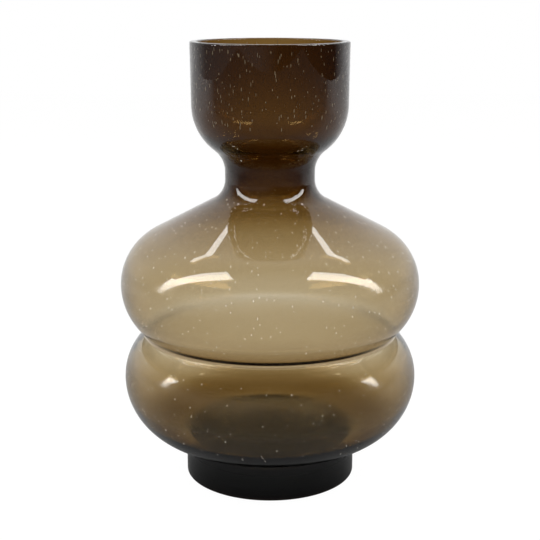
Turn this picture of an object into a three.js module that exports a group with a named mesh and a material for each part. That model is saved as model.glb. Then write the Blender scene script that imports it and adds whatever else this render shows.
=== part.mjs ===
// A mouth-blown vase of smoke-brown glass. Two round bulbs meet at a pinched waist. Above them a conical
// shoulder runs into a narrow neck and a straight-sided mouth cup, and the lower bulb is welded to a solid
// foot. Millimetres, +Z up, with the origin at the centre of the face that the foot stands on.
import * as THREE from "three";

// Foot
const FOOT_RADIUS = 59;
const FOOT_HEIGHT = 27;
const FOOT_STANDING_EDGE = 1.5; // rounding of the edge that it stands on
const FOOT_UPPER_EDGE = 1.5; // rounding of the edge under the bulb

// Lower bulb
const LOWER_BULB_RADIUS = 101;
const LOWER_BULB_UNDER_ARC = 45; // from the foot out to the widest ring
const LOWER_BULB_OVER_ARC = 39; // from the widest ring in to the waist

// Waist
const WAIST_DEPTH = 15.3; // how far the crease is pinched in from the slimmer bulb
const WAIST_FILLET = 0.8; // hollow rounding at the bottom of the crease

// Upper bulb and shoulder
const UPPER_BULB_RADIUS = 102.2;
const UPPER_BULB_UNDER_ARC = 42.5; // from the waist out to the widest ring
const UPPER_BULB_OVER_ARC = 39.3; // from the widest ring up to the cone
const SHOULDER_SLOPE = THREE.MathUtils.degToRad(27.9); // of the cone, above the horizontal
const SHOULDER_FILLET = 16; // hollow rounding from the cone into the neck

// Neck
const NECK_RADIUS = 30.4;
const NECK_STRAIGHT = 5.2; // length of its straight stretch

// Mouth cup
const CUP_RADIUS = 52.5; // at the foot of its straight side
const CUP_LIP_RADIUS = 53;
const CUP_FLARE_ARC = 18.5; // hollow curve out of the neck
const CUP_BASE_ARC = 38; // round curve up to the straight side
const CUP_SIDE = 41.3; // straight side, up to the top of the lip
const LIP_EDGE = 1.1; // rounding of the lip's two edges

// Thickness of the glass: least where the bubble was blown widest
const HEEL_WALL = 6.5; // all around the floor
const LOWER_BULB_WALL = 1.2;
const WAIST_WALL = 1.2;
const UPPER_BULB_WALL = 1;
const SHOULDER_WALL = 1.2;
const NECK_FOOT_WALL = 2.3;
const NECK_WALL = 4.6;
const CUP_WALL = 3.7;
const LIP_WALL = 4.8;
const FLOOR_DISH_ARC = 400; // shallow hollow of the floor inside

// Fineness of the turned surfaces
const SIDES_AROUND = 40;
const ARC_STEP = THREE.MathUtils.degToRad(15);
const FEWEST_STEPS = 3;

// Smoke-brown glass, darker where it is thicker
const FOOT_COLOUR = 0x15120f;
const LOWER_BULB_COLOUR = 0x6b532f;
const UPPER_BULB_COLOUR = 0xae9a70;
const NECK_COLOUR = 0x5f4626;
const CUP_COLOUR = 0x3b2718;
const FOOT_ROUGHNESS = 0.25;
const BLOWN_ROUGHNESS = 0.04;

// Places worked out from the sizes, as radius from the axis and height above the table
const QUARTER_TURN = Math.PI / 2;
const HALF_TURN = Math.PI;

const lowerEquator = FOOT_HEIGHT + LOWER_BULB_UNDER_ARC;
const lowerUnderCentre = LOWER_BULB_RADIUS - LOWER_BULB_UNDER_ARC;
const lowerOverCentre = LOWER_BULB_RADIUS - LOWER_BULB_OVER_ARC;
const upperUnderCentre = UPPER_BULB_RADIUS - UPPER_BULB_UNDER_ARC;
const upperOverCentre = UPPER_BULB_RADIUS - UPPER_BULB_OVER_ARC;

// The crease is a small hollow rounding that touches the arcs of both bulbs.
const waistCentre = Math.min(LOWER_BULB_RADIUS, UPPER_BULB_RADIUS) - WAIST_DEPTH + WAIST_FILLET;
const overReach = waistCentre - lowerOverCentre;
const upperReach = waistCentre - upperUnderCentre;
const overRise = Math.sqrt((LOWER_BULB_OVER_ARC + WAIST_FILLET) ** 2 - overReach ** 2);
const upperRise = Math.sqrt((UPPER_BULB_UNDER_ARC + WAIST_FILLET) ** 2 - upperReach ** 2);
const waistHeight = lowerEquator + overRise;
const upperEquator = waistHeight + upperRise;
const overEnd = Math.atan2(overRise, overReach);
const upperStart = Math.atan2(-upperRise, upperReach);

// The cone leaves the upper bulb's arc where the arc has the cone's slope, and runs to the neck's rounding.
const neckCentre = NECK_RADIUS + SHOULDER_FILLET;
const coneGap = (neckCentre - upperOverCentre) * Math.sin(SHOULDER_SLOPE);
const neckRise = (UPPER_BULB_OVER_ARC + SHOULDER_FILLET - coneGap) / Math.cos(SHOULDER_SLOPE);
const neckFoot = upperEquator + neckRise;
const coneFoot = upperEquator + UPPER_BULB_OVER_ARC * Math.cos(SHOULDER_SLOPE);
const coneTop = neckFoot - SHOULDER_FILLET * Math.cos(SHOULDER_SLOPE);
const neckTop = neckFoot + NECK_STRAIGHT;
const coneTurn = QUARTER_TURN - SHOULDER_SLOPE;
const filletStart = HALF_TURN + coneTurn;

// The cup's hollow flare and its round base meet on one tangent.
const flareTurn = Math.acos(1 - (CUP_RADIUS - NECK_RADIUS) / (CUP_FLARE_ARC + CUP_BASE_ARC));
const flareTop = neckTop + CUP_FLARE_ARC * Math.sin(flareTurn);
const cupSideFoot = flareTop + CUP_BASE_ARC * Math.sin(flareTurn);
const lipHeight = cupSideFoot + CUP_SIDE - LIP_EDGE;

// How thick the glass is at each height, eased from one place to the next
const wallPlaces = [
  { height: FOOT_HEIGHT, wall: HEEL_WALL },
  { height: lowerEquator, wall: LOWER_BULB_WALL },
  { height: waistHeight, wall: WAIST_WALL },
  { height: upperEquator, wall: UPPER_BULB_WALL },
  { height: coneFoot, wall: SHOULDER_WALL },
  { height: coneTop, wall: NECK_FOOT_WALL },
  { height: neckTop, wall: NECK_WALL },
  { height: cupSideFoot, wall: CUP_WALL },
  { height: lipHeight, wall: LIP_WALL },
];

function wallAt(height) {
  const above = wallPlaces.findIndex((place) => place.height >= height);
  if (above === 0) return HEEL_WALL;
  if (above < 0) return LIP_WALL;
  const low = wallPlaces[above - 1];
  const high = wallPlaces[above];
  const eased = THREE.MathUtils.smoothstep(height, low.height, high.height);
  return THREE.MathUtils.lerp(low.wall, high.wall, eased);
}

// A round stretch of the outside, as points with the direction out of the glass. A stretch that turns
// anticlockwise bulges out, and one that turns clockwise is hollow.
function roundStretch(centreRadius, centreHeight, arcRadius, from, to) {
  const steps = Math.max(FEWEST_STEPS, Math.ceil(Math.abs(to - from) / ARC_STEP));
  const side = Math.sign(to - from);
  const stretch = [];
  for (let step = 0; step <= steps; step += 1) {
    const angle = THREE.MathUtils.lerp(from, to, step / steps);
    const spoke = new THREE.Vector2(Math.cos(angle), Math.sin(angle));
    const point = new THREE.Vector2(centreRadius, centreHeight).addScaledVector(spoke, arcRadius);
    stretch.push({ point, outward: spoke.multiplyScalar(side) });
  }
  return stretch;
}

const outside = [
  ...roundStretch(lowerUnderCentre, lowerEquator, LOWER_BULB_UNDER_ARC, -QUARTER_TURN, 0),
  ...roundStretch(lowerOverCentre, lowerEquator, LOWER_BULB_OVER_ARC, 0, overEnd).slice(1),
  ...roundStretch(waistCentre, waistHeight, WAIST_FILLET, overEnd + HALF_TURN, upperStart + HALF_TURN),
  ...roundStretch(upperUnderCentre, upperEquator, UPPER_BULB_UNDER_ARC, upperStart, 0),
  ...roundStretch(upperOverCentre, upperEquator, UPPER_BULB_OVER_ARC, 0, coneTurn).slice(1),
  ...roundStretch(neckCentre, neckFoot, SHOULDER_FILLET, filletStart, HALF_TURN),
  ...roundStretch(NECK_RADIUS + CUP_FLARE_ARC, neckTop, CUP_FLARE_ARC, HALF_TURN, HALF_TURN - flareTurn),
  ...roundStretch(CUP_RADIUS - CUP_BASE_ARC, cupSideFoot, CUP_BASE_ARC, -flareTurn, 0),
  { point: new THREE.Vector2(CUP_LIP_RADIUS, lipHeight), outward: new THREE.Vector2(1, 0) },
];
const outerLine = outside.map(({ point }) => point);

// Inside, the floor is a shallow dish that runs smoothly into the round heel.
const heelArc = LOWER_BULB_UNDER_ARC - HEEL_WALL;
const dishTurn = Math.asin(lowerUnderCentre / (FLOOR_DISH_ARC - heelArc));
const dishCentre = lowerEquator + (FLOOR_DISH_ARC - heelArc) * Math.cos(dishTurn);
const floorHeight = dishCentre - FLOOR_DISH_ARC;
const dish = roundStretch(0, dishCentre, FLOOR_DISH_ARC, -QUARTER_TURN, dishTurn - QUARTER_TURN);
const innerLine = [
  ...dish.map(({ point }) => point),
  ...outside.slice(1).map(({ point, outward }) => point.clone().addScaledVector(outward, -wallAt(point.y))),
];

// Where a rising line of points passes a height
function crossing(line, height) {
  const above = line.findIndex((point) => point.y >= height);
  if (above <= 0) return line.at(above).clone();
  const low = line[above - 1];
  const high = line[above];
  return low.clone().lerp(high, (height - low.y) / (high.y - low.y));
}

function between(line, low, high) {
  const inside = line.filter((point) => point.y > low && point.y < high);
  return [crossing(line, low), ...inside, crossing(line, high)];
}

// One stretch of the wall, up its outside and down its inside, with flat rings where it meets its neighbours
function wallRing(low, high) {
  const ring = [...between(outerLine, low, high), ...between(innerLine, low, high).reverse()];
  return [...ring, ring[0].clone()];
}

function axisPoint(height) {
  return new THREE.Vector2(0, height);
}

function footProfile() {
  const standing = roundStretch(
    FOOT_RADIUS - FOOT_STANDING_EDGE,
    FOOT_STANDING_EDGE,
    FOOT_STANDING_EDGE,
    -QUARTER_TURN,
    0,
  );
  const upper = roundStretch(
    FOOT_RADIUS - FOOT_UPPER_EDGE,
    FOOT_HEIGHT - FOOT_UPPER_EDGE,
    FOOT_UPPER_EDGE,
    0,
    QUARTER_TURN,
  );
  return [
    axisPoint(0),
    ...standing.map(({ point }) => point),
    ...upper.map(({ point }) => point),
    axisPoint(FOOT_HEIGHT),
  ];
}

function lowerBulbProfile() {
  const outer = between(outerLine, FOOT_HEIGHT, waistHeight);
  const inner = between(innerLine, floorHeight, waistHeight).slice(1).reverse();
  return [axisPoint(FOOT_HEIGHT), ...outer, ...inner, axisPoint(floorHeight)];
}

function mouthCupProfile() {
  const outerSide = between(outerLine, flareTop, lipHeight);
  const innerSide = between(innerLine, flareTop, lipHeight).reverse();
  const outerEdge = CUP_LIP_RADIUS - LIP_EDGE;
  const innerEdge = CUP_LIP_RADIUS - LIP_WALL + LIP_EDGE;
  const lip = [
    ...roundStretch(outerEdge, lipHeight, LIP_EDGE, 0, QUARTER_TURN).slice(1),
    ...roundStretch(innerEdge, lipHeight, LIP_EDGE, QUARTER_TURN, HALF_TURN).slice(0, -1),
  ].map(({ point }) => point);
  return [...outerSide, ...lip, ...innerSide, outerSide[0].clone()];
}

// Each piece of glass is turned about the upright axis.
function turned(name, profile, glass) {
  const geometry = new THREE.LatheGeometry(profile, SIDES_AROUND);
  geometry.rotateX(QUARTER_TURN);
  const piece = new THREE.Mesh(geometry, glass);
  piece.name = name;
  return piece;
}

function smokeGlass(color, roughness) {
  return new THREE.MeshStandardMaterial({ color, roughness, metalness: 0 });
}

const vase = new THREE.Group();
vase.add(
  turned("foot", footProfile(), smokeGlass(FOOT_COLOUR, FOOT_ROUGHNESS)),
  turned("lower_bulb", lowerBulbProfile(), smokeGlass(LOWER_BULB_COLOUR, BLOWN_ROUGHNESS)),
  turned("upper_bulb", wallRing(waistHeight, coneTop), smokeGlass(UPPER_BULB_COLOUR, BLOWN_ROUGHNESS)),
  turned("neck", wallRing(coneTop, flareTop), smokeGlass(NECK_COLOUR, BLOWN_ROUGHNESS)),
  turned("mouth_cup", mouthCupProfile(), smokeGlass(CUP_COLOUR, BLOWN_ROUGHNESS)),
);

export default vase;
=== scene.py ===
"""Mouth-blown vase of smoke-brown glass with seed bubbles, on a pale studio floor."""
import math
import random

import bpy
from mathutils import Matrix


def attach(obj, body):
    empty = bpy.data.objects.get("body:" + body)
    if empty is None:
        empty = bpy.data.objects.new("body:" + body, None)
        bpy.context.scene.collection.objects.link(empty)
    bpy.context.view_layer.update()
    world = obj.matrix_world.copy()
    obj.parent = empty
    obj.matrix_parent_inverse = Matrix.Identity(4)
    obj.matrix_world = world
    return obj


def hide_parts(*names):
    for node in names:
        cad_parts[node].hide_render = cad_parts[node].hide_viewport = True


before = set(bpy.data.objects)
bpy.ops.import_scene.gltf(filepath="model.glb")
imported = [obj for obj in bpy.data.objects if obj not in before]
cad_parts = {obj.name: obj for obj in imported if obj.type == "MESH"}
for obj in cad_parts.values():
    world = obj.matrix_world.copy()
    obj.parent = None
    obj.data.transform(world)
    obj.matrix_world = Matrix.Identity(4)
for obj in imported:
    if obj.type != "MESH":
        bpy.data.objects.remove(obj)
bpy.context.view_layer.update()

# Foot. A thick disc of the same smoke-brown glass, gathered hot, pressed flat and welded under the bubble while
# both are soft. The bubble's bottom has sunk into it, and so much glass lets hardly any light through.
MM = 0.001
FOOT_RADIUS = 59.0
FOOT_HEIGHT = 27.0
FOOT_STANDING_EDGE = 1.5
FOOT_UPPER_EDGE = 0.6
# the hollow in its top, which the bubble's bottom fills, as radius and height
SEAT = [(0, 15), (24, 15), (48, 15), (52, 15.6), (55, 17.4), (57, 20), (57.8, 23), (58, 27)]
# rings of vertices on the sole and up the side, and steps along the two rounded edges
SOLE_RING = 28.0
SIDE_RINGS = (12.0, 19.0)
STANDING_EDGE_STEP = 0.6
UPPER_EDGE_STEP = 0.3
# fewest steps in a bend, steps round the axis, and the distance within which vertices are merged
BEND_STEPS = 4
TURN_STEPS = 140
MERGE_WITHIN = 0.002


def bend(centre, radius, first, last, step):
    """Points (radius, height) along an arc of an outline, with angles in degrees above level."""
    count = max(BEND_STEPS, round(math.radians(abs(last - first)) * radius / step))
    angles = [math.radians(first + (last - first) * i / count) for i in range(count + 1)]
    return [(centre[0] + radius * math.cos(a), centre[1] + radius * math.sin(a)) for a in angles]


def spun(name, outline):
    """Pulls one vertex along an outline in millimetres, then spins the line round the upright axis."""
    bpy.ops.object.select_all(action="DESELECT")
    bpy.ops.mesh.primitive_plane_add(size=MM)
    piece = bpy.context.object
    piece.name = piece.data.name = name
    bpy.ops.object.mode_set(mode="EDIT")
    bpy.ops.mesh.select_all(action="SELECT")
    bpy.ops.mesh.merge(type="CENTER")
    here = (0.0, 0.0)
    for i, there in enumerate(outline):
        move = ((there[0] - here[0]) * MM, 0, (there[1] - here[1]) * MM)
        if i == 0:
            bpy.ops.transform.translate(value=move)
        else:
            bpy.ops.mesh.extrude_region_move(TRANSFORM_OT_translate={"value": move})
        here = there
    bpy.ops.mesh.select_all(action="SELECT")
    bpy.ops.mesh.spin(steps=TURN_STEPS, angle=2 * math.pi, center=(0, 0, 0), axis=(0, 0, 1))
    bpy.ops.mesh.select_all(action="SELECT")
    bpy.ops.mesh.remove_doubles(threshold=MERGE_WITHIN * MM)
    bpy.ops.mesh.normals_make_consistent(inside=False)
    bpy.ops.object.mode_set(mode="OBJECT")
    bpy.ops.object.shade_smooth()
    return piece


def add_node(tree, kind, settings=None, links=None):
    """Adds a node, sets its sockets or properties by name and links sources to its sockets."""
    node = tree.nodes.new(kind)
    for name, value in (settings or {}).items():
        if isinstance(name, int) or name in node.inputs:
            node.inputs[name].default_value = value
        else:
            setattr(node, name, value)
    for name, source in (links or {}).items():
        tree.links.new(source, node.inputs[name])
    return node


def linear(code):
    """An sRGB hex colour as linear red, green, blue and alpha."""
    parts = [int(code[i : i + 2], 16) / 255 for i in (1, 3, 5)]
    return [c / 12.92 if c <= 0.04045 else ((c + 0.055) / 1.055) ** 2.4 for c in parts] + [1.0]


# Smoke glass, soda-lime with a brown tint all through, fire-polished. Its depth of brown follows the thickness
# that light crosses: straw in the thin bulbs, coffee in the cup, almost black in the foot. Blowing and turning
# leave very shallow waves about 40 mm long, which make the reflections' edges run a little.
CLEAR = "#ffffff"
SMOKE_TINT = "#bea219"
SMOKE_DENSITY = 787.0
GLASS_IOR = 1.5
WAVE_LENGTH = 40.0
WAVE_HEIGHT = 0.012
FOOT_WAVE_HEIGHT = 0.5 * WAVE_HEIGHT
# heights between which the waves die out, below the neck
WAVES_FADE = (180, 200)


def smoke_glass(name, wave_height):
    """The glass as a material, clear on its surface and brown in its depth."""
    material = bpy.data.materials.new(name)
    material.use_nodes = True
    tree = material.node_tree
    tree.nodes.clear()
    place = add_node(tree, "ShaderNodeTexCoord")
    axes = add_node(tree, "ShaderNodeSeparateXYZ", {}, {0: place.outputs["Object"]})
    waves = add_node(
        tree,
        "ShaderNodeTexNoise",
        {"Scale": 1 / (WAVE_LENGTH * MM), "Detail": 1.0},
        {"Vector": place.outputs["Object"]},
    )
    fade = add_node(
        tree,
        "ShaderNodeMapRange",
        {"From Min": WAVES_FADE[0] * MM, "From Max": WAVES_FADE[1] * MM, "To Min": 1.0, "To Max": 0.0},
        {"Value": axes.outputs["Z"]},
    )
    waves = add_node(
        tree, "ShaderNodeMath", {"operation": "MULTIPLY"}, {0: waves.outputs[0], 1: fade.outputs[0]}
    )
    relief = add_node(
        tree, "ShaderNodeBump", {"Strength": 1.0, "Distance": wave_height * MM}, {"Height": waves.outputs[0]}
    )
    surface = add_node(
        tree,
        "ShaderNodeBsdfPrincipled",
        {"Base Color": linear(CLEAR), "Roughness": 0.0, "IOR": GLASS_IOR, "Transmission Weight": 1.0},
        {"Normal": relief.outputs["Normal"]},
    )
    tint = add_node(tree, "ShaderNodeVolumeAbsorption", {"Color": linear(SMOKE_TINT), "Density": SMOKE_DENSITY})
    add_node(tree, "ShaderNodeOutputMaterial", {}, {"Surface": surface.outputs[0], "Volume": tint.outputs[0]})
    return material


standing_centre = (FOOT_RADIUS - FOOT_STANDING_EDGE, FOOT_STANDING_EDGE)
upper_centre = (FOOT_RADIUS - FOOT_UPPER_EDGE, FOOT_HEIGHT - FOOT_UPPER_EDGE)
foot_outline = [(0.0, 0.0), (SOLE_RING, 0.0)]
foot_outline += bend(standing_centre, FOOT_STANDING_EDGE, -90, 0, STANDING_EDGE_STEP)
foot_outline += [(FOOT_RADIUS, height) for height in SIDE_RINGS]
foot_outline += bend(upper_centre, FOOT_UPPER_EDGE, 0, 90, UPPER_EDGE_STEP)
foot_outline += SEAT[::-1]
foot = spun("foot_disc", foot_outline)
foot.data.materials.append(smoke_glass("pressed_smoke_glass", FOOT_WAVE_HEIGHT))
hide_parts("foot")
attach(foot, "root")

# Blown bubble. One gather of glass, blown, pinched at the waist with jacks, drawn in to a neck and opened to a
# cup, so the bulbs, neck and cup are one wall. The lip is flat with two fire-polished edges, and the bottom is
# sunk into the foot and welded to it.
LOWER_EQUATOR = 72.0
LOWER_RADIUS = 101.0
LOWER_UNDER_ARC = 45.0
LOWER_OVER_ARC = 39.0
WAIST_DEPTH = 14.49
WAIST_FILLET = 2.2
UPPER_RADIUS = 102.2
UPPER_UNDER_ARC = 42.5
UPPER_OVER_ARC = 39.3
SHOULDER_SLOPE = 27.9
SHOULDER_FILLET = 16.0
NECK_RADIUS = 30.4
NECK_STRAIGHT = 5.2
CUP_RADIUS = 52.5
CUP_LIP_RADIUS = 53.0
CUP_FLARE_ARC = 18.5
CUP_BASE_ARC = 38.0
CUP_TOP = 300.0
LIP_WALL = 4.8
LIP_EDGE = 1.1
# wall thickness at heights up the vase, both in millimetres
WALLS = [
    (72, 1.2), (85, 1.1), (93, 0.85), (99, 0.5), (102, 0.22), (103.4, 0.2), (104.6, 0.45), (106.5, 0.8),
    (110, 0.9), (135, 1.0), (160, 1.0), (171, 1.3), (185, 2.0), (195, 2.8), (205, 4.1), (214, 5.1),
    (228, 4.4), (240, 3.4), (258, 3.7), (266, 4.0), (285, 4.6), (300, 4.8),
]
# the inside of the lower bulb from its widest place down into the foot, as radius and height
INSIDE = [
    (99.8, 72), (98.2, 60.7), (93.6, 50.3), (87.9, 43.3), (81.3, 38.5), (74.4, 34.7), (68.2, 32.1), (63.4, 30.5),
    (59.9, 29.3), (57.9, 27.9), (56.9, 25.8), (56.6, 23.4), (55.2, 21.4), (52.4, 20.2), (48, 19.8), (40, 19.7),
    (20, 19.6), (0, 19.6),
]
# where the heel leaves the foot, in degrees on the lower bulb's under arc
HEEL_START = -87.3
# overlap of the bubble's bottom with the foot, so that no film of air is left between them
WELD = 0.02
# steps along the outline, from coarse on the bulbs to fine in the crease
STRAIGHT_STEP = 1.5
BULB_STEP = 1.2
FLARE_STEP = 1.0
SHOULDER_STEP = 0.9
OVER_CREASE_STEP = 0.7
LIP_STEP = 0.2
CREASE_STEP = 0.15
CUP_SIDE_STEPS = 24
INSIDE_STEPS = 5
# points of two stretches that are nearer than this are one point
SAME_POINT = 0.01

heel_centre = LOWER_RADIUS - LOWER_UNDER_ARC
waist_centre = LOWER_RADIUS - WAIST_DEPTH + WAIST_FILLET
lower_over_centre = LOWER_RADIUS - LOWER_OVER_ARC
upper_under_centre = UPPER_RADIUS - UPPER_UNDER_ARC
upper_over_centre = UPPER_RADIUS - UPPER_OVER_ARC
lower_rise = math.sqrt((LOWER_OVER_ARC + WAIST_FILLET) ** 2 - (waist_centre - lower_over_centre) ** 2)
upper_rise = math.sqrt((UPPER_UNDER_ARC + WAIST_FILLET) ** 2 - (waist_centre - upper_under_centre) ** 2)
waist_height = LOWER_EQUATOR + lower_rise
upper_equator = waist_height + upper_rise
waist_low = math.degrees(math.atan2(lower_rise, waist_centre - lower_over_centre))
waist_high = math.degrees(math.atan2(-upper_rise, waist_centre - upper_under_centre))
slope = math.radians(SHOULDER_SLOPE)
neck_centre = NECK_RADIUS + SHOULDER_FILLET
shoulder_run = UPPER_OVER_ARC + SHOULDER_FILLET - (neck_centre - upper_over_centre) * math.sin(slope)
neck_foot = upper_equator + shoulder_run / math.cos(slope)
neck_top = neck_foot + NECK_STRAIGHT
flare_centre = NECK_RADIUS + CUP_FLARE_ARC
cup_base_centre = CUP_RADIUS - CUP_BASE_ARC
flare_turn = math.degrees(math.acos(1 - (CUP_RADIUS - NECK_RADIUS) / (CUP_FLARE_ARC + CUP_BASE_ARC)))
cup_side_foot = neck_top + (CUP_FLARE_ARC + CUP_BASE_ARC) * math.sin(math.radians(flare_turn))

# centre, radius, first and last angle, step, and 1 where the wall bulges or -1 where it is hollow
stretches = [
    ((lower_over_centre, LOWER_EQUATOR), LOWER_OVER_ARC, 0, waist_low, BULB_STEP, 1),
    ((waist_centre, waist_height), WAIST_FILLET, waist_low + 180, waist_high + 180, CREASE_STEP, -1),
    ((upper_under_centre, upper_equator), UPPER_UNDER_ARC, waist_high, 0, OVER_CREASE_STEP, 1),
    ((upper_over_centre, upper_equator), UPPER_OVER_ARC, 0, 90 - SHOULDER_SLOPE, BULB_STEP, 1),
    ((neck_centre, neck_foot), SHOULDER_FILLET, 270 - SHOULDER_SLOPE, 180, SHOULDER_STEP, -1),
    ((flare_centre, neck_top), CUP_FLARE_ARC, 180, 180 - flare_turn, FLARE_STEP, -1),
    ((cup_base_centre, cup_side_foot), CUP_BASE_ARC, -flare_turn, 0, BULB_STEP, 1),
]


def graded(places, at):
    """The value at a place on a line through (place, value) pairs, level beyond its ends."""
    for (low, first), (high, last) in zip(places, places[1:]):
        if at <= high:
            return first + (last - first) * min(1.0, max(0.0, (at - low) / (high - low)))
    return places[-1][1]


def wall_at(height):
    """Thickness of the wall at a height."""
    return graded(WALLS, height)


def between(a, b, count):
    """Points strictly between two points."""
    return [(a[0] + (b[0] - a[0]) * i / count, a[1] + (b[1] - a[1]) * i / count) for i in range(1, count)]


outer = []
inner = []
for centre, radius, first, last, step, bulge in stretches:
    points = bend(centre, radius, first, last, step)
    if outer and math.dist(outer[-1], points[0]) > STRAIGHT_STEP:
        start, end = outer[-1], points[0]
        run = math.dist(start, end)
        out_r = (end[1] - start[1]) / run
        out_z = -(end[0] - start[0]) / run
        for r, z in between(start, end, round(run / STRAIGHT_STEP)):
            outer.append((r, z))
            inner.append((r - out_r * wall_at(z), z - out_z * wall_at(z)))
    for r, z in points:
        if outer and math.dist(outer[-1], (r, z)) < SAME_POINT:
            continue
        wall = bulge * wall_at(z) / math.dist((r, z), centre)
        outer.append((r, z))
        inner.append((r - (r - centre[0]) * wall, z - (z - centre[1]) * wall))
for r, z in between((CUP_RADIUS, cup_side_foot), (CUP_LIP_RADIUS, CUP_TOP - LIP_EDGE), CUP_SIDE_STEPS):
    outer.append((r, z))
    inner.append((r - wall_at(z), z))
lip = bend((CUP_LIP_RADIUS - LIP_EDGE, CUP_TOP - LIP_EDGE), LIP_EDGE, 0, 90, LIP_STEP)
lip += bend((CUP_LIP_RADIUS - LIP_WALL + LIP_EDGE, CUP_TOP - LIP_EDGE), LIP_EDGE, 90, 180, LIP_STEP)


def smooth_through(places, per_gap):
    """A smooth line through places, upright at the first and level at the last."""
    first = (places[1][0], 2 * places[0][1] - places[1][1])
    last = (-places[-2][0], places[-2][1])
    line = [first] + list(places) + [last]
    out = []
    for a, b, c, d in zip(line, line[1:], line[2:], line[3:]):
        for i in range(per_gap):
            u = i / per_gap
            point = []
            for k in (0, 1):
                rise = (c[k] - a[k]) * u
                curve = (2 * a[k] - 5 * b[k] + 4 * c[k] - d[k]) * u**2
                twist = (3 * b[k] - a[k] - 3 * c[k] + d[k]) * u**3
                point.append(0.5 * (2 * b[k] + rise + curve + twist))
            out.append(tuple(point))
    return out + [places[-1]]


# once round the wall: bottom, heel, outside, lip, then down the inside to the middle of the floor
bottom = [(r, z - WELD) for r, z in SEAT]
under = bend((heel_centre, LOWER_EQUATOR), LOWER_UNDER_ARC, HEEL_START, 0, BULB_STEP)
body_outline = bottom + under + outer[1:] + lip + inner[::-1][:-1] + smooth_through(INSIDE, INSIDE_STEPS)
body = spun("blown_body", body_outline)

# Blown smoke glass, the foot's glass with painted shade in the waist crease: dark where the two bulbs meet, then
# paler as it thins out up the upper bulb, on the outside only. The bulbs have a slightly soft skin, so that their
# far side and the floor of the vase show through them only as soft tones.
CREASE_SHADE_DARK = "#1c120a"
CREASE_SHADE_PALE = "#957b55"
# how deep the painted shade is at distances from the crease, down below 0 and up above it, in millimetres
CREASE_SHADE_FADE = [
    (-1.6, 0), (-0.6, 0.5), (1.0, 0.65), (1.5, 1), (5.2, 1), (5.9, 0.7),
    (10, 0.42), (18, 0.15), (27, 0.03), (36, 0),
]
# depth up to which the painted shade is pale, and past which it is dark and lets less light through the glass
CREASE_SHADE_SOLID = 0.7
# heights where a soft skin starts, is full, begins to end and has ended, and its roughness
LOWER_SKIN = (55, 66, 84, 94, 0.2)
UPPER_SKIN = (112, 120, 150, 158, 0.16)


def to_hundredths(r, z):
    """A point of the outline to 0.01 mm, by which the ring of vertices spun from it is found."""
    return round(r, 2), round(z, 2)


crease = min(range(len(outer)), key=lambda i: math.dist(outer[i], (waist_centre - WAIST_FILLET, waist_height)))
crease_shade_depths = {}
for i, point in enumerate(outer):
    depth = graded(CREASE_SHADE_FADE, math.copysign(math.dist(point, outer[crease]), i - crease))
    if depth:
        crease_shade_depths[to_hundredths(*point)] = depth
crease_shade_layer = body.data.attributes.new("painted_crease_shade", "FLOAT", "POINT")
for i, vertex in enumerate(body.data.vertices):
    here = to_hundredths(math.hypot(*vertex.co[:2]) / MM, vertex.co[2] / MM)
    crease_shade_layer.data[i].value = crease_shade_depths.get(here, 0.0)

blown = smoke_glass("blown_smoke_glass", WAVE_HEIGHT)
tree = blown.node_tree
surface = tree.nodes["Principled BSDF"]
# painted shade in the waist crease, shown on the outside faces only
shade_mask = add_node(tree, "ShaderNodeAttribute", {"attribute_name": "painted_crease_shade"})
face = add_node(tree, "ShaderNodeNewGeometry")
outside = add_node(tree, "ShaderNodeMath", {"operation": "SUBTRACT", 0: 1.0}, {1: face.outputs["Backfacing"]})
shade_mask = add_node(tree, "ShaderNodeMath", {"operation": "MULTIPLY"}, {0: shade_mask.outputs["Fac"], 1: outside.outputs[0]})
pale_shade = add_node(tree, "ShaderNodeMapRange", {"From Max": CREASE_SHADE_SOLID}, {"Value": shade_mask.outputs[0]})
# the dark end of the painted shade, which also takes away transmission
scale = add_node(tree, "ShaderNodeMapRange", {"From Min": CREASE_SHADE_SOLID}, {"Value": shade_mask.outputs[0]})
clear = add_node(tree, "ShaderNodeMath", {"operation": "SUBTRACT", 0: 1.0}, {1: scale.outputs[0]})
colour = add_node(
    tree,
    "ShaderNodeMix",
    {"data_type": "RGBA", 6: linear(CLEAR), 7: linear(CREASE_SHADE_PALE)},
    {0: pale_shade.outputs[0]},
)
colour = add_node(
    tree,
    "ShaderNodeMix",
    {"data_type": "RGBA", 7: linear(CREASE_SHADE_DARK)},
    {0: scale.outputs[0], 6: colour.outputs[2]},
)
tree.links.new(clear.outputs[0], surface.inputs["Transmission Weight"])
tree.links.new(colour.outputs[2], surface.inputs["Base Color"])
place = add_node(tree, "ShaderNodeTexCoord")
axes = add_node(tree, "ShaderNodeSeparateXYZ", {}, {0: place.outputs["Object"]})
skins = []
for start, full, ending, end, roughness in (LOWER_SKIN, UPPER_SKIN):
    rise = add_node(
        tree,
        "ShaderNodeMapRange",
        {"From Min": start * MM, "From Max": full * MM, "To Min": 0.0, "To Max": roughness},
        {"Value": axes.outputs["Z"]},
    )
    fall = add_node(
        tree,
        "ShaderNodeMapRange",
        {"From Min": ending * MM, "From Max": end * MM, "To Min": 1.0, "To Max": 0.0},
        {"Value": axes.outputs["Z"]},
    )
    skins.append(
        add_node(tree, "ShaderNodeMath", {"operation": "MULTIPLY"}, {0: rise.outputs[0], 1: fall.outputs[0]})
    )
skin = add_node(tree, "ShaderNodeMath", {"operation": "ADD"}, {0: skins[0].outputs[0], 1: skins[1].outputs[0]})
tree.links.new(skin.outputs[0], surface.inputs["Roughness"])
body.data.materials.append(blown)
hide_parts("lower_bulb", "upper_bulb", "neck", "mouth_cup")
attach(body, "root")

# Seed bubbles. Small pockets of air that stayed in the melt. Turning and drawing the hot glass pulled them into
# upright streaks in the cup, and left them as short dashes and dots in the bulbs.
SEED_ORDER = 11
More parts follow.
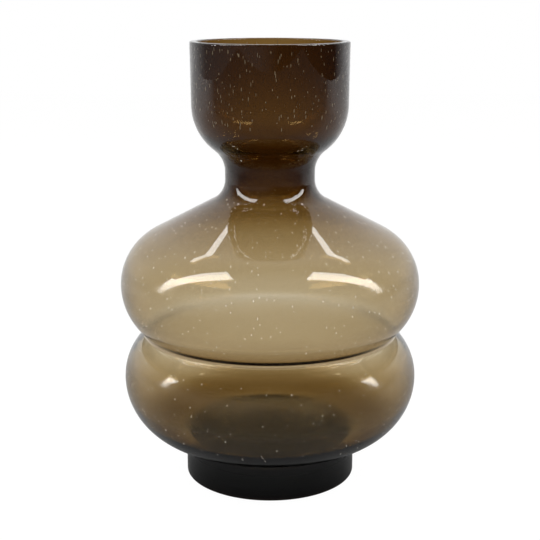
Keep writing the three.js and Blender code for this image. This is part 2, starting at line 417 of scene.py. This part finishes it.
# how many, then heights, lengths and widths from and to, in millimetres
SEEDS = [
    (540, 247, 297, (0.5, 3.4), (0.20, 0.36)),
    (580, 112, 198, (0.6, 2.0), (0.30, 0.52)),
    (340, 40, 96, (0.5, 1.3), (0.30, 0.52)),
]
# how deep they lie, as a share of the wall at heights up the vase
SEED_DEPTH = [(190, 0.3), (240, 0.25)]
# how deep they lie under the lower bulb, in millimetres, and the height that they keep above there
UNDER_SEED_DEPTH = 0.4
UNDER_SEED_END = 32
# half the thickness of a seed is at most this share of the wall, so that it stays inside the glass
SEED_FLATNESS = 0.3

pick = random.Random(SEED_ORDER)
bpy.ops.object.select_all(action="DESELECT")
bpy.ops.mesh.primitive_ico_sphere_add(subdivisions=1, radius=MM, location=(0, 0, 0))
seeds = bpy.context.object
seeds.name = seeds.data.name = "seed_bubbles"
bpy.ops.object.mode_set(mode="EDIT")
bpy.ops.mesh.select_all(action="SELECT")
bpy.ops.mesh.delete(type="VERT")
seed_line = []
for r, z in under:
    if z > UNDER_SEED_END:
        in_r = UNDER_SEED_DEPTH * (r - heel_centre) / LOWER_UNDER_ARC
        in_z = UNDER_SEED_DEPTH * (z - LOWER_EQUATOR) / LOWER_UNDER_ARC
        seed_line.append((r - in_r, z - in_z))
for out_point, in_point in zip(outer[1:], inner[1:]):
    depth = graded(SEED_DEPTH, out_point[1])
    seed_line.append(tuple(a + (b - a) * depth for a, b in zip(out_point, in_point)))
for count, low, high, lengths, widths in SEEDS:
    places = [i for i in range(1, len(seed_line) - 1) if low <= seed_line[i][1] <= high]
    areas = [seed_line[i][0] * math.dist(seed_line[i], seed_line[i + 1]) for i in places]
    for i in pick.choices(places, weights=areas, k=count):
        start, end = seed_line[i], seed_line[i + 1]
        along = pick.random()
        r = start[0] + (end[0] - start[0]) * along
        z = start[1] + (end[1] - start[1]) * along
        turn = pick.uniform(0, 2 * math.pi)
        lean = math.atan2(end[0] - start[0], end[1] - start[1])
        long = pick.uniform(*lengths) / 2
        wide = pick.uniform(*widths) / 2
        bpy.ops.mesh.primitive_ico_sphere_add(
            subdivisions=1,
            radius=MM,
            location=(r * math.cos(turn) * MM, r * math.sin(turn) * MM, z * MM),
            rotation=(0, lean, turn),
            scale=(min(wide, SEED_FLATNESS * wall_at(z)), wide, long),
        )
bpy.ops.object.mode_set(mode="OBJECT")
bpy.ops.object.origin_set(type="ORIGIN_CURSOR")
bpy.ops.object.shade_smooth()

# Trapped air shows as a pale glint, because its surface turns light back. It is drawn as a glowing pale solid, a
# painted glint, since real air of this size would be lost between two pixels, and some patches of it are brighter
# than others.
SEED_SHADE = "#b0a898"
SEED_SHEEN = "#ffffff"
SEED_PATCH = 6.0
SEED_ROUGHNESS = 0.3
SEED_IOR = 1.45
# painted glow of the glints in the bulbs and in the cup, where less light reaches them, and the heights between
# the two
BULB_GLOW = 0.72
CUP_GLOW = 0.26
GLOW_FADE = (200, 240)

glint = bpy.data.materials.new("trapped_air")
glint.use_nodes = True
tree = glint.node_tree
tree.nodes.clear()
place = add_node(tree, "ShaderNodeTexCoord")
axes = add_node(tree, "ShaderNodeSeparateXYZ", {}, {0: place.outputs["Object"]})
patches = add_node(
    tree, "ShaderNodeTexNoise", {"Scale": 1 / (SEED_PATCH * MM)}, {"Vector": place.outputs["Object"]}
)
shade = add_node(
    tree,
    "ShaderNodeMix",
    {"data_type": "RGBA", 6: linear(SEED_SHADE), 7: linear(SEED_SHEEN)},
    {0: patches.outputs[0]},
)
# strength of the painted glow, from the bulbs up to the cup
lit = add_node(
    tree,
    "ShaderNodeMapRange",
    {"From Min": GLOW_FADE[0] * MM, "From Max": GLOW_FADE[1] * MM, "To Min": BULB_GLOW, "To Max": CUP_GLOW},
    {"Value": axes.outputs["Z"]},
)
pale = add_node(
    tree,
    "ShaderNodeBsdfPrincipled",
    {"Roughness": SEED_ROUGHNESS, "IOR": SEED_IOR},
    {"Base Color": shade.outputs[2], "Emission Color": shade.outputs[2], "Emission Strength": lit.outputs[0]},
)
add_node(tree, "ShaderNodeOutputMaterial", {}, {"Surface": pale.outputs[0]})
seeds.data.materials.append(glint)
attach(seeds, "root")

# Studio floor. A sheet of matt white paper, lit evenly and seen as white. Under the foot and close round it a
# painted shadow of the vase darkens its glow, and in reflections it is painted dim, because little light falls on
# the camera's side.
FLOOR_SIZE = 6.0
PAPER = "#d9d8d6"
STUDIO_WHITE = "#ffffff"
# brightness of the white floor, and of the floor far behind in reflections
FLOOR_LEVEL = 1.06
FAR_FLOOR_LEVEL = 0.85
# share of the floor's look that is even white, and the rest paper with shadows
EVEN_WHITE = 0.92

bpy.ops.object.select_all(action="DESELECT")
bpy.ops.mesh.primitive_plane_add(size=FLOOR_SIZE)
floor = bpy.context.object
floor.name = "studio_floor"
paper = bpy.data.materials.new("white_paper_floor")
paper.use_nodes = True
tree = paper.node_tree
tree.nodes.clear()
ray = add_node(tree, "ShaderNodeLightPath")
mirrored = add_node(
    tree,
    "ShaderNodeMath",
    {"operation": "SUBTRACT", "use_clamp": True},
    {0: ray.outputs["Is Glossy Ray"], 1: ray.outputs["Is Transmission Ray"]},
)
place = add_node(tree, "ShaderNodeTexCoord")
axes = add_node(tree, "ShaderNodeSeparateXYZ", {}, {0: place.outputs["Object"]})
reach = add_node(tree, "ShaderNodeVectorMath", {"operation": "LENGTH"}, {0: place.outputs["Object"]})
# in reflections: painted dim in front of the vase, with a painted shadow close to it, and white far behind it
front = add_node(
    tree,
    "ShaderNodeMapRange",
    {"From Min": -0.22, "From Max": 0.05, "To Min": 0.12, "To Max": 0.46},
    {"Value": axes.outputs["Y"]},
)
near = add_node(
    tree,
    "ShaderNodeMapRange",
    {"From Min": 0.06, "From Max": 0.14, "To Min": 0.3, "To Max": 1.0},
    {"Value": reach.outputs["Value"]},
)
front = add_node(tree, "ShaderNodeMath", {"operation": "MULTIPLY"}, {0: front.outputs[0], 1: near.outputs[0]})
behind = add_node(
    tree,
    "ShaderNodeMapRange",
    {"From Min": 0.05, "From Max": 0.6, "To Min": 0.0, "To Max": 1.0},
    {"Value": axes.outputs["Y"]},
)
reflected = add_node(
    tree,
    "ShaderNodeMix",
    {"data_type": "FLOAT", 3: FAR_FLOOR_LEVEL},
    {0: behind.outputs[0], 2: front.outputs[0]},
)
# through the glass: a painted shadow round the vase, painted black where the foot stands on it
shaded = add_node(
    tree,
    "ShaderNodeMapRange",
    {"From Min": 0.09, "From Max": 0.17, "To Min": 0.42, "To Max": FLOOR_LEVEL},
    {"Value": reach.outputs["Value"]},
)
contact = add_node(
    tree,
    "ShaderNodeMapRange",
    {"From Min": 0.058, "From Max": 0.066, "To Min": 0.0, "To Max": 1.0},
    {"Value": reach.outputs["Value"]},
)
shaded = add_node(tree, "ShaderNodeMath", {"operation": "MULTIPLY"}, {0: shaded.outputs[0], 1: contact.outputs[0]})
direct = add_node(
    tree,
    "ShaderNodeMix",
    {"data_type": "FLOAT", 2: FLOOR_LEVEL},
    {0: ray.outputs["Is Transmission Ray"], 3: shaded.outputs[0]},
)
level = add_node(
    tree,
    "ShaderNodeMix",
    {"data_type": "FLOAT"},
    {0: mirrored.outputs[0], 2: direct.outputs[0], 3: reflected.outputs[0]},
)
glow = add_node(tree, "ShaderNodeEmission", {"Color": linear(STUDIO_WHITE)}, {"Strength": level.outputs[0]})
matt = add_node(tree, "ShaderNodeBsdfDiffuse", {"Color": linear(PAPER)})
seen = add_node(
    tree,
    "ShaderNodeMath",
    {"operation": "MAXIMUM"},
    {0: ray.outputs["Is Camera Ray"], 1: ray.outputs["Is Glossy Ray"]},
)
seen = add_node(tree, "ShaderNodeMath", {"operation": "MULTIPLY", 1: EVEN_WHITE}, {0: seen.outputs[0]})
sheet = add_node(tree, "ShaderNodeMixShader", {}, {0: seen.outputs[0], 1: matt.outputs[0], 2: glow.outputs[0]})
add_node(tree, "ShaderNodeOutputMaterial", {}, {"Surface": sheet.outputs[0]})
floor.data.materials.append(paper)

# Studio light. White all round and less bright overhead, with a dim camera's side in reflections. Long softboxes
# overhead to the left and right draw the bright bands on the bulbs and the streaks on the shoulder.
BACK_DIRECTION = (0, 0.92, 0.3)
BACK_LEVEL = 0.9
# name, middle in metres, length, width, turn in degrees and brightness
SOFTBOXES = [
    ("left_front_box", (-4.2, -0.19, 1.2), 7.5, 0.34, -3.4, 10),
    ("right_front_box", (4.2, -0.19, 1.2), 7.5, 0.34, 3.4, 10),
    ("left_far_box", (-4.8, 0.081, 1.2), 6.0, 0.13, -3.4, 10),
    ("right_far_box", (4.8, 0.081, 1.2), 6.0, 0.13, 3.4, 10),
    ("left_back_box", (-0.54, 0.45, 1.2), 0.5, 0.08, 40, 6.5),
    ("right_back_box", (0.54, 0.45, 1.2), 0.5, 0.08, -40, 6.5),
]

world = bpy.data.worlds.new("studio")
bpy.context.scene.world = world
world.use_nodes = True
tree = world.node_tree
tree.nodes.clear()
ray = add_node(tree, "ShaderNodeLightPath")
mirrored = add_node(
    tree,
    "ShaderNodeMath",
    {"operation": "SUBTRACT", "use_clamp": True},
    {0: ray.outputs["Is Glossy Ray"], 1: ray.outputs["Is Transmission Ray"]},
)
place = add_node(tree, "ShaderNodeTexCoord")
axes = add_node(tree, "ShaderNodeSeparateXYZ", {}, {0: place.outputs["Generated"]})
# in reflections: dim, less so on the left, darker overhead, and white behind
across = add_node(
    tree,
    "ShaderNodeMapRange",
    {"From Min": -0.3, "From Max": 0.2, "To Min": 0.28, "To Max": 0.05},
    {"Value": axes.outputs["X"]},
)
dusk = add_node(
    tree,
    "ShaderNodeMapRange",
    {"From Min": 0.05, "From Max": 0.4, "To Min": 1.0, "To Max": 0.25},
    {"Value": axes.outputs["Z"]},
)
dim = add_node(tree, "ShaderNodeMath", {"operation": "MULTIPLY"}, {0: across.outputs[0], 1: dusk.outputs[0]})
towards = add_node(
    tree,
    "ShaderNodeVectorMath",
    {"operation": "DOT_PRODUCT", 1: BACK_DIRECTION},
    {0: place.outputs["Generated"]},
)
back = add_node(
    tree,
    "ShaderNodeMapRange",
    {"From Min": 0.2, "From Max": 0.6, "To Min": 0.0, "To Max": 1.0},
    {"Value": towards.outputs["Value"]},
)
reflected = add_node(
    tree,
    "ShaderNodeMix",
    {"data_type": "FLOAT", 3: BACK_LEVEL},
    {0: back.outputs[0], 2: dim.outputs[0]},
)
# seen directly and through the glass: white, and less bright overhead
direct = add_node(
    tree,
    "ShaderNodeMapRange",
    {"From Min": 0.2, "From Max": 0.45, "To Min": 1.0, "To Max": 0.25},
    {"Value": axes.outputs["Z"]},
)
level = add_node(
    tree,
    "ShaderNodeMix",
    {"data_type": "FLOAT"},
    {0: mirrored.outputs[0], 2: direct.outputs[0], 3: reflected.outputs[0]},
)
sky = add_node(tree, "ShaderNodeBackground", {"Color": linear(STUDIO_WHITE)}, {"Strength": level.outputs[0]})
add_node(tree, "ShaderNodeOutputWorld", {}, {"Surface": sky.outputs[0]})
for name, middle, length, width, turn, brightness in SOFTBOXES:
    bpy.ops.object.light_add(type="AREA", location=middle, rotation=(0, 0, math.radians(turn)))
    box = bpy.context.object
    box.name = box.data.name = name
    box.data.shape = "RECTANGLE"
    box.data.size = length
    box.data.size_y = width
    box.data.energy = brightness * math.pi * length * width
    box.visible_camera = False

# Black flag. A ring of black card round the waist, which only mirrored and refracted light sees, and only from
# below. It keeps the softboxes out of the lower bulb, apart from their far ends.
FLAG_RADII = (92.0, 125.0)
FLAG_HEIGHT = 108.0
FLAG_BLACK = "#050505"
flag = spun("black_flag", [(radius, FLAG_HEIGHT) for radius in FLAG_RADII])
if flag.data.polygons[0].normal.z > 0:
    flag.data.flip_normals()
card = bpy.data.materials.new("black_card")
card.use_nodes = True
tree = card.node_tree
tree.nodes.clear()
face = add_node(tree, "ShaderNodeNewGeometry")
black = add_node(tree, "ShaderNodeBsdfDiffuse", {"Color": linear(FLAG_BLACK)})
open_side = add_node(tree, "ShaderNodeBsdfTransparent")
one_sided = add_node(
    tree, "ShaderNodeMixShader", {}, {0: face.outputs["Backfacing"], 1: black.outputs[0], 2: open_side.outputs[0]}
)
add_node(tree, "ShaderNodeOutputMaterial", {}, {"Surface": one_sided.outputs[0]})
flag.data.materials.append(card)
flag.visible_camera = False
flag.visible_diffuse = False
flag.visible_shadow = False

# Camera. It stands in front of the vase at the photograph's height and tilt, with a long lens. Light has to pass
# through both walls and the foot, so it may bounce often.
CAMERA_PLACE = (0, -0.765, 0.3332)
CAMERA_TILT = 76.18
CAMERA_LENS = 76.2
CAMERA_SENSOR = 36
GLASS_BOUNCES = 24
MIRROR_BOUNCES = 8
bpy.ops.object.camera_add(location=CAMERA_PLACE, rotation=(math.radians(CAMERA_TILT), 0, 0))
camera = bpy.context.object
camera.data.sensor_width = CAMERA_SENSOR
camera.data.lens = CAMERA_LENS
scene = bpy.context.scene
scene.camera = camera
scene.view_settings.view_transform = "Standard"
scene.cycles.max_bounces = GLASS_BOUNCES
scene.cycles.transmission_bounces = GLASS_BOUNCES
scene.cycles.glossy_bounces = MIRROR_BOUNCES
